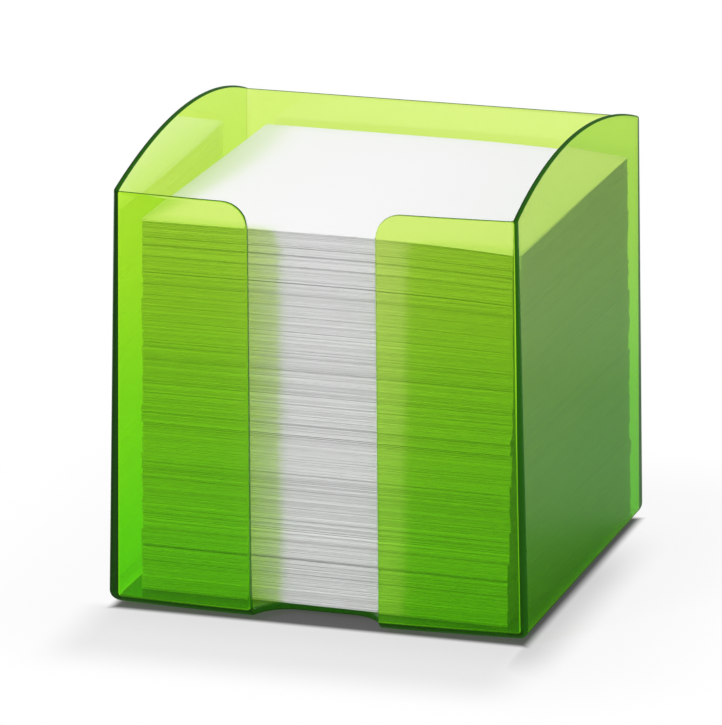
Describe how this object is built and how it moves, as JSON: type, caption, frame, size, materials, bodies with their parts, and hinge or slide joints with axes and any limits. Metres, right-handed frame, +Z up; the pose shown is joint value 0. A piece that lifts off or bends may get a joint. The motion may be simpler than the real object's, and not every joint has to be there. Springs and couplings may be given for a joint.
{
  "type": "memo cube holder",
  "caption": "Clear green moulded box with arched side walls and a front finger slot, filled with a tall stack of loose white note sheets.",
  "frame": {"origin": "on the floor under the middle of the box", "axes": "+Z up, -Y towards the front with the finger slot, +X to the right seen from the front"},
  "size_m": [0.1014, 0.1026, 0.1086],
  "materials": {
    "green_plastic": "clear tinted, glossy",
    "note_paper": "uncoated, matt"
  },
  "bodies": {
    "box": {"holder": "green_plastic"},
    "refill": {"sheet_packet_01": "note_paper", "sheet_packet_02": "note_paper", "sheet_packet_03": "note_paper", "sheet_packet_04": "note_paper", "sheet_packet_05": "note_paper", "sheet_packet_06": "note_paper", "sheet_packet_07": "note_paper", "sheet_packet_08": "note_paper", "sheet_packet_09": "note_paper", "sheet_packet_10": "note_paper", "sheet_packet_11": "note_paper", "sheet_packet_12": "note_paper", "sheet_packet_13": "note_paper", "sheet_packet_14": "note_paper", "sheet_packet_15": "note_paper", "sheet_packet_16": "note_paper", "sheet_packet_17": "note_paper", "sheet_packet_18": "note_paper", "sheet_packet_19": "note_paper", "sheet_packet_20": "note_paper", "sheet_packet_21": "note_paper", "sheet_packet_22": "note_paper", "sheet_packet_23": "note_paper", "sheet_packet_24": "note_paper"},
    "single_sheet": {"top_sheet": "note_paper"}
  },
  "joints": [
    {"name": "refill_lift", "type": "slide", "parent": "box", "child": "refill", "axis": [0, 0, 1], "range_m": [0, 0.112]},
    {"name": "top_sheet_lift", "type": "slide", "parent": "refill", "child": "single_sheet", "axis": [0, 0, 1], "range_m": [0, 0.03]}
  ]
}
